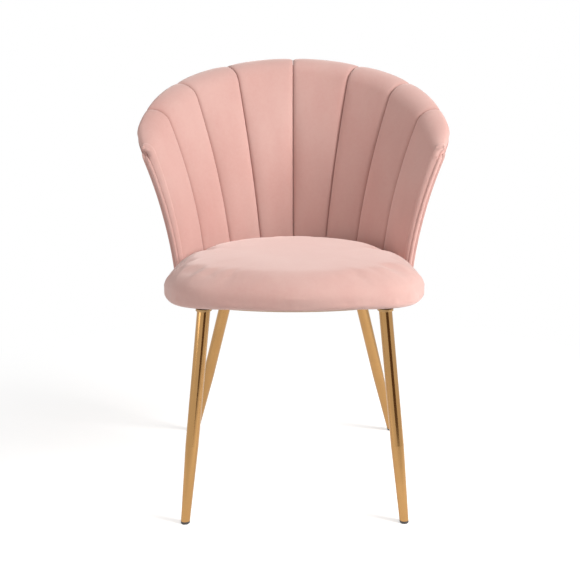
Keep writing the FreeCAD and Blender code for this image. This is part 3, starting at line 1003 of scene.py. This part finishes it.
    def piping(self) -> bpy.types.Object:
        """Builds the piping: up one arm's edge, under the rim and down the other.

        Returns:
            The piping.
        """
        form = self.form
        rim = []
        last = (form.stations - 1) * self.piping_steps
        for step in range(-last, last + 1):
            station = Station(form, step / self.piping_steps)
            rim.append(station.place(station.piping_point()))
        path = self.arm_line(-form.stations) + rim + self.arm_line(form.stations)[::-1]
        line = bpy.data.curves.new("piping_line", "CURVE")
        line.dimensions = "3D"
        line.bevel_depth = form.piping_diameter / 2 * self.piping_plump * MM
        line.bevel_resolution = 5
        line.use_fill_caps = True
        line.resolution_u = 3
        spline = line.splines.new("NURBS")
        spline.points.add(len(path) - 1)
        for point, at in zip(spline.points, path):
            point.co = (*at, 1.0)
        spline.order_u = 3
        spline.use_endpoint_u = True
        holder = bpy.data.objects.new("piping_line", line)
        mesh = bpy.data.meshes.new_from_object(holder)
        bpy.data.objects.remove(holder)
        mesh.name = "edge_welt"
        mesh.shade_smooth()
        piece = bpy.data.objects.new("edge_welt", mesh)
        bpy.context.scene.collection.objects.link(piece)
        dress(piece, self.velvet, Slot.VELVET)
        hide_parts("edge_piping")
        return piece

    def build(self) -> None:
        """Builds every piece of the back."""
        for index in range(1, self.form.stations + 1):
            self.channel(index)
        self.panel()
        self.piping()


# ---- the seat ----


@dataclass(frozen=True)
class SeatCushion:
    """The seat's cushion in its cover, and the dust cover below. Millimetres."""

    form: BackForm
    velvet: bpy.types.Material
    dust: bpy.types.Material
    half_width: float = 242.0
    widest_y: float = -152.0
    arm_half_width: float = 226.0
    bow_half_width: float = 165.0
    bow_depth: float = 29.0
    corner_bulge: float = 14.0
    side_bulge: float = 3.0
    rear_gap: float = 4.6
    notch_angle: float = 65.0
    bottom: float = 387.0
    edge_height: float = 27.0
    edge_tuck: float = 24.0
    crown_height: float = 35.0
    shoulder: float = 60.0
    dome_height: float = 7.0
    dome_reach: float = 190.0
    edge_turns: tuple[int, ...] = (0, 18, 36, 54, 72)
    top_turns: tuple[int, ...] = (0, 15, 30, 45, 60, 72, 82, 90)
    dome_draws: tuple[float, ...] = (80.0, 100.0, 120.0, 140.0)
    rear_steps: int = 22
    front_steps: int = 18
    turn_in: float = 34.0
    corner_tuck: float = 0.45
    side_from: Pair = (100.0, 110.0)
    front_from: Pair = (130.0, 60.0)
    front_lift: float = 3.5
    opening_rise: float = 2.6
    opening_level: float = 5.0
    start_inset: float = 1.5
    start_rise: float = 0.2
    voxel: float = 5.0
    seated_level: float = 9.0
    swell_cap: float = 5.0
    pressure: float = 4.0
    frames: int = 20
    smoothings: int = 2
    back_gap: float = 3.2
    back_slope: float = 0.05
    dust_gap: float = 2.0
    dust_level: float = 388.1
    dust_middle: float = -57.0
    dust_steps: int = 14
    dust_hole: float = 60.0
    dust_sag: float = 0.28
    dust_sag_scale: float = 0.02
    dust_thickness: float = 0.5

    def corner_points(self, inset: float) -> list[Pair]:
        """The outline's corners on one side, from the rear to the front.

        Args:
            inset: how far the outline is drawn in.

        Returns:
            The corners.
        """
        arm = Station(self.form, self.form.stations).place((0.0, 0.0), self.form.arm_nose) / MM
        radius = self.form.base_radius - self.rear_gap - inset
        turn = math.radians(self.notch_angle)
        notch_y = arm.y - self.rear_gap
        front_y = -self.form.overall_depth / 2
        return [
            (radius * math.sin(turn), barrel_y(self.form) + radius * math.cos(turn)),
            (arm.x - self.rear_gap - inset, notch_y - inset / 2),
            (self.arm_half_width - inset, notch_y - inset / 2 - self.rear_gap),
            (self.half_width - inset, self.widest_y + inset / 4),
            (self.bow_half_width - inset / 2, front_y + self.bow_depth + inset),
        ]

    def outline(self, inset: float) -> list[Pair]:
        """The cushion's outline, all round from the rear's middle.

        Args:
            inset: how far it is drawn in.

        Returns:
            Its points, the first one repeated at the end.
        """
        corners = self.corner_points(inset)
        radius = self.form.base_radius - self.rear_gap - inset
        half = []
        for step in range(self.rear_steps):
            turn = math.radians(self.notch_angle) * step / self.rear_steps
            half.append((radius * math.sin(turn), barrel_y(self.form) + radius * math.cos(turn)))
        runs = ((0, 0.0, 2), (1, 0.0, 3), (2, self.side_bulge, 14), (3, self.corner_bulge, 12))
        for start, bulge, steps in runs:
            for step in range(steps):
                half.append(self._bulged(corners[start], corners[start + 1], bulge, step / steps))
        front = (0.0, -self.form.overall_depth / 2 + inset)
        bow = corners[-1]
        for step in range(self.front_steps + 1):
            share = step / self.front_steps
            half.append((bow[0] * (1 - share), lerp(front[1], bow[1], (1 - share) ** 2)))
        other = [(-x, y) for x, y in half[1:-1]]
        return half + other[::-1] + [half[0]]

    @staticmethod
    def _bulged(start: Pair, end: Pair, bulge: float, share: float) -> Pair:
        """A point of the shallow arc that bulges between two corners."""
        across, along = end[0] - start[0], end[1] - start[1]
        length = math.hypot(across, along)
        swell = 4 * share * (1 - share) * bulge / length
        return start[0] + across * share - along * swell, start[1] + along * share + across * swell

    def levels(self, inset: float) -> list[Pair]:
        """The heights and insets that shape the cushion from below to above.

        Args:
            inset: how far the whole form is drawn in.

        Returns:
            Pairs of height and inset.
        """
        edge = self.bottom + self.edge_height
        low = self.bottom + inset * self.start_rise
        found = []
        for turn in map(math.radians, self.edge_turns):
            draw = self.edge_tuck * (1 - math.sin(turn))
            found.append((edge - (edge - low) * math.cos(turn), draw + inset))
        for turn in map(math.radians, self.top_turns):
            draw = self.shoulder * (1 - math.cos(turn))
            rise = (self.crown_height - inset) * math.sin(turn)
            found.append((edge + rise + self.dome(draw), draw + inset))
        for draw in self.dome_draws:
            found.append((edge + self.crown_height - inset + self.dome(draw), draw + inset))
        return found

    def dome(self, draw: float) -> float:
        """How far the top rises at a distance in from the outline."""
        return self.dome_height * (1 - (1 - draw / self.dome_reach) ** 2)

    def blank(self) -> bmesh.types.BMesh:
        """The cushion's form before it is blown up: fuller at its lower front corners."""
        inset = self.start_inset
        outer = self.outline(inset)
        rings = []
        for height, draw in self.levels(inset):
            whole = self.outline(draw)
            above = (height - self.bottom) / self.edge_height
            if height >= self.bottom + self.edge_height:
                rings.append([Vector((x, y, height)) * MM for x, y in whole])
                continue
            partly = self.outline(lerp(inset, draw, self.corner_tuck))
            ring = []
            for edge, full, part in zip(outer, whole, partly):
                side = ramp(abs(edge[0]), *self.side_from)
                front = ramp(-edge[1], *self.front_from)
                x, y = between(full, part, side * front)
                lift = self.front_lift * (1 - side) * front * (1 - above)
                ring.append(Vector((x, y, height + lift)) * MM)
            rings.append(ring)
        bm = shaped_grid(rings)
        close_up(bm)
        return bm

    def blow_up(self, piece: bpy.types.Object) -> None:
        """Swells the cover over its stuffing with a short cloth simulation.

        Args:
            piece: the cushion, which is changed.
        """
        group = piece.vertex_groups.new(name="seated")
        low = (self.bottom + self.seated_level) * MM
        group.add([v.index for v in piece.data.vertices if v.co.z < low], 1.0, "REPLACE")
        before = [vert.co.copy() for vert in piece.data.vertices]
        cloth = piece.modifiers.new("stuffing", "CLOTH")
        cloth.settings.use_pressure = True
        cloth.settings.uniform_pressure_force = self.pressure
        cloth.settings.effector_weights.gravity = 0.0
        cloth.settings.vertex_group_mass = group.name
        cloth.settings.quality = 5
        cloth.point_cache.frame_start = 1
        cloth.point_cache.frame_end = self.frames
        for number in range(1, self.frames + 1):
            bpy.context.scene.frame_set(number)
        graph = bpy.context.evaluated_depsgraph_get()
        shaped = bpy.data.meshes.new_from_object(piece.evaluated_get(graph))
        piece.modifiers.clear()
        cap = self.swell_cap * MM
        for vert, old, new in zip(piece.data.vertices, before, shaped.vertices):
            move = new.co - old
            if move.length > cap:
                move *= cap / move.length
            vert.co = old + move
        bpy.data.meshes.remove(shaped)
        bpy.context.scene.frame_set(1)

    def settle(self, piece: bpy.types.Object) -> None:
        """Smooths the cushion, then keeps it off the back and the dust cover.

        Args:
            piece: the cushion, which is changed.
        """
        bm = bmesh.new()
        bm.from_mesh(piece.data)
        axes = {"use_axis_x": True, "use_axis_y": True, "use_axis_z": True}
        for _ in range(self.smoothings):
            bmesh.ops.smooth_vert(bm, verts=bm.verts[:], factor=0.5, **axes)
        middle = Vector((0.0, barrel_y(self.form) * MM, 0.0))
        notch_y = self.corner_points(0.0)[1][1] * MM
        for vert in bm.verts:
            flat = Vector((vert.co.x, vert.co.y, 0.0)) - middle
            if vert.co.y > notch_y:
                leaning = max(0.0, vert.co.z / MM - self.form.base_level) * self.back_slope
                most = (self.form.base_radius - self.back_gap + leaning) * MM
                if flat.length > most:
                    flat *= most / flat.length
                    vert.co.x, vert.co.y = middle.x + flat.x, middle.y + flat.y
            vert.co.z = max(vert.co.z, self.bottom * MM)
        window = self.outline(self.edge_tuck + self.turn_in)
        for vert in bm.verts:
            low = vert.co.z < (self.bottom + self.opening_level) * MM
            if low and self.inside(vert.co, window):
                vert.co.z = (self.bottom + self.opening_rise) * MM
        bm.to_mesh(piece.data)
        bm.free()

    @staticmethod
    def inside(point: Vector, outline: Sequence[Pair]) -> bool:
        """Whether a point lies inside an outline.

        Args:
            point: the point, in metres.
            outline: the outline, in millimetres.

        Returns:
            Whether it is inside.
        """
        x, y = point.x / MM, point.y / MM
        crossed = False
        for (x0, y0), (x1, y1) in zip(outline, outline[1:]):
            if (y0 > y) != (y1 > y) and x < x0 + (x1 - x0) * (y - y0) / (y1 - y0):
                crossed = not crossed
        return crossed

    def cushion(self) -> bpy.types.Object:
        """Builds the cushion in its cover.

        Returns:
            The cushion.
        """
        piece = to_object(self.blank(), "seat_cushion")
        remesh = piece.modifiers.new("even", "REMESH")
        remesh.mode = "VOXEL"
        remesh.voxel_size = self.voxel * MM
        remesh.use_smooth_shade = True
        graph = bpy.context.evaluated_depsgraph_get()
        even = bpy.data.meshes.new_from_object(piece.evaluated_get(graph))
        piece.modifiers.clear()
        piece.data = even
        even.name = "seat_cushion"
        self.blow_up(piece)
        self.settle(piece)
        finer = piece.modifiers.new("finer", "SUBSURF")
        finer.levels = 1
        finer.render_levels = 1
        piece.data.shade_smooth()
        dress(piece, self.velvet, Slot.VELVET)
        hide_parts("seat_cover", "seat_foam")
        return piece

    def dust_cover(self) -> bpy.types.Object:
        """Builds the cloth that closes the seat from below.

        Returns:
            The cloth.
        """
        outer = self.outline(self.edge_tuck + self.turn_in + self.dust_gap)
        centre = Vector((0.0, self.dust_middle, self.dust_level))
        rings = []
        for step in range(self.dust_steps):
            share = 1 - step / self.dust_steps
            ring = []
            for x, y in outer:
                point = centre.lerp(Vector((x, y, self.dust_level)), share)
                sag = self.dust_sag * noise.noise(point * self.dust_sag_scale)
                point.z += sag * (1 - share**6)
                ring.append(point * MM)
            rings.append(ring)
        bm = shaped_grid(rings)
        bmesh.ops.remove_doubles(bm, verts=bm.verts[:], dist=WELD)
        rims = [edge for edge in bm.edges if edge.is_boundary]
        hole = [e for e in rims if (e.verts[0].co / MM - centre).length < self.dust_hole]
        bmesh.ops.holes_fill(bm, edges=hole, sides=0)
        bmesh.ops.recalc_face_normals(bm, faces=bm.faces[:])
        area = sum(face.calc_area() for face in bm.faces)
        spans = [[vert.co[axis] for vert in bm.verts] for axis in (0, 1)]
        flat = tuple(max(span) - min(span) for span in spans)
        piece = to_object(bm, "dust_cloth")
        thick = piece.modifiers.new("cloth", "SOLIDIFY")
        thick.thickness = self.dust_thickness * MM
        thick.offset = 0.0
        dress(piece, self.dust, Slot.DUST_CLOTH)
        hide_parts("dust_cover")
        return piece

    def build(self) -> None:
        """Builds the cushion and the dust cover."""
        self.cushion()
        self.dust_cover()


# ---- the CAD nodes that stay ----


@dataclass(frozen=True)
class Hardware:
    """The rigid nodes, which keep their shapes and get their finishes."""

    gold: bpy.types.Material
    steel: bpy.types.Material
    zinc: bpy.types.Material
    plastic: bpy.types.Material
    wood: bpy.types.Material

    def finish_of(self, node: str) -> bpy.types.Material | None:
        """The finish of a node.

        Args:
            node: the node's name.

        Returns:
            Its material, or None where a new piece stands for it.
        """
        if node.endswith("_leg"):
            return self.gold
        if node.endswith("_glide"):
            return self.plastic
        if node.endswith("_bar") or node == "back_brackets":
            return self.steel
        if node in ("seat_board", "back_shell"):
            return self.wood
        if node in ("seat_bolts", "seat_washers", "t_nuts", "bracket_nuts", "back_bolts"):
            return self.zinc
        return None

    def build(self) -> None:
        """Gives each rigid node its finish."""
        for name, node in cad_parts.items():
            material = self.finish_of(name)
            if material is None:
                continue
            node.data.materials.clear()
            node.data.materials.append(material)


# ---- the studio ----


@dataclass(frozen=True)
class Lamp:
    """A soft square light. Metres and watts."""

    name: str
    at: Triple
    aim: Triple
    size: float
    watts: float
    colour: Colour

    def build(self) -> None:
        """Adds the light."""
        data = bpy.data.lights.new(self.name, "AREA")
        data.size = self.size
        data.energy = self.watts
        data.color = self.colour
        made = bpy.data.objects.new(self.name, data)
        made.location = self.at
        aim = Vector(self.aim) - Vector(self.at)
        made.rotation_euler = aim.to_track_quat("-Z", "Y").to_euler()
        bpy.context.scene.collection.objects.link(made)


@dataclass(frozen=True)
class Studio:
    """A white floor, soft lights and the camera."""

    focal_mm: float = 64.64
    sensor_mm: float = 36.0
    camera_at: Triple = (-0.014, -1.970, 0.870)
    camera_tilt: float = 75.68
    camera_turn: float = -0.41
    camera_shift: float = -0.0066
    lamps: tuple[Lamp, ...] = (
        Lamp("key", (2.15, -1.05, 1.65), (0.0, 0.0, 0.6), 1.0, 80.0, (1.0, 0.985, 0.97)),
        Lamp("top", (0.0, -0.9, 2.7), (0.0, 0.0, 0.4), 1.6, 6.0, (1.0, 1.0, 1.0)),
        Lamp("fill", (-2.2, -1.3, 1.0), (0.0, 0.0, 0.5), 1.4, 16.0, (1.0, 0.99, 0.98)),
    )
    floor_half: float = 14.0
    world_colour: Colour = (1.0, 0.985, 0.97)
    world_strength: float = 0.36
    floor_glow: float = 0.50
    shadow_reach: float = 0.55
    flag_x: Pair = (0.08, 1.20)
    flag_y: float = -1.35
    flag_height: float = 2.2
    flag_colour: Colour = (0.16, 0.10, 0.06)

    def camera(self) -> None:
        """Sets up the camera where the photograph was taken from."""
        data = bpy.data.cameras.new("camera")
        data.lens = self.focal_mm
        data.sensor_width = self.sensor_mm
        data.shift_x = self.camera_shift
        made = bpy.data.objects.new("camera", data)
        made.location = self.camera_at
        made.rotation_euler = (math.radians(self.camera_tilt), 0.0, math.radians(self.camera_turn))
        bpy.context.scene.collection.objects.link(made)
        bpy.context.scene.camera = made

    @staticmethod
    def seen_ray(graph: Graph) -> Socket:
        """1 for rays that show the background, straight or in metal and glass.

        Args:
            graph: the graph that it goes into.

        Returns:
            1 for such a ray, otherwise 0.
        """
        straight, mirrored, through = (
            graph.node("ShaderNodeLightPath", {}, {}, "Is %s Ray" % kind)
            for kind in ("Camera", "Glossy", "Transmission")
        )
        return (straight + mirrored + through).clamped()

    def floor(self) -> None:
        """Builds the floor, which keeps the chair's shadow and turns white away from it."""
        bm = bmesh.new()
        bmesh.ops.create_grid(bm, x_segments=1, y_segments=1, size=self.floor_half)
        piece = to_object(bm, "floor")
        graph = Graph.of_material("studio_floor")
        plain = graph.node("ShaderNodeBsdfDiffuse", {}, {"Color": (0.80, 0.80, 0.80, 1.0)})
        glow = graph.emission(WHITE, self.floor_glow)
        lit = graph.node("ShaderNodeAddShader", {}, {0: plain, 1: glow})
        length = {"operation": "LENGTH"}
        reach = graph.node("ShaderNodeVectorMath", length, {0: graph.place()}, "Value")
        far = ((reach - self.shadow_reach) * (1 / self.shadow_reach)).clamped()
        seen = graph.node("ShaderNodeMixShader", {}, {0: far, 1: lit, 2: graph.emission(WHITE)})
        mix = graph.node("ShaderNodeMixShader", {}, {0: self.seen_ray(graph), 1: plain, 2: seen})
        piece.data.materials.append(graph.finish(mix))

    def flag(self) -> None:
        """Stands a dark flag in front, which only the metal's reflections show."""
        bm = bmesh.new()
        bmesh.ops.create_grid(bm, x_segments=1, y_segments=1, size=0.5)
        low, high = self.flag_x
        for vert in bm.verts:
            across = low + (vert.co.x + 0.5) * (high - low)
            vert.co = (across, self.flag_y, (vert.co.y + 0.5) * self.flag_height)
        piece = to_object(bm, "flag")
        graph = Graph.of_material("dark_flag")
        dark = graph.emission((*self.flag_colour, 1.0))
        piece.data.materials.append(graph.finish(dark))
        piece.visible_camera = False
        piece.visible_diffuse = False
        piece.visible_shadow = False
        piece.visible_transmission = False

    def world(self) -> None:
        """Lights the room evenly and shows white behind the chair."""
        world = bpy.data.worlds.new("studio")
        bpy.context.scene.world = world
        graph = Graph(world)
        kind = "ShaderNodeBackground"
        ambient = {"Color": (*self.world_colour, 1.0), "Strength": self.world_strength}
        dim = graph.node(kind, {}, ambient)
        white = graph.node(kind, {}, {"Color": WHITE, "Strength": 1.0})
        shown = {0: self.seen_ray(graph), 1: dim, 2: white}
        graph.finish(graph.node("ShaderNodeMixShader", {}, shown))

    def build(self) -> None:
        """Builds the whole studio."""
        bpy.context.scene.view_settings.view_transform = "Standard"
        self.floor()
        self.world()
        self.camera()
        for lamp in self.lamps:
            lamp.build()
        self.flag()


def main() -> None:
    """Builds the studio and the chair."""
    logging.basicConfig(level=logging.INFO, format="%(name)s: %(message)s")
    Studio().build()
    velvet = Velvet().paint()
    form = BackForm()
    parts = [
        ChannelledBack(form, velvet),
        SeatCushion(form, velvet, SpunCloth().paint()),
        Hardware(
            gold=Plating().paint(),
            steel=Lacquer("gold_lacquer", (0.46, 0.28, 0.12), (0.36, 0.22, 0.10)).paint(),
            zinc=Lacquer("bright_zinc", (0.60, 0.61, 0.63), (0.42, 0.43, 0.45), 0.95, 0.34).paint(),
            plastic=Moulded().paint(),
            wood=Plywood().paint(),
        ),
    ]
    for part in parts:
        part.build()
        log.info("built %s", type(part).__name__)


if __name__ == "__main__":
    main()
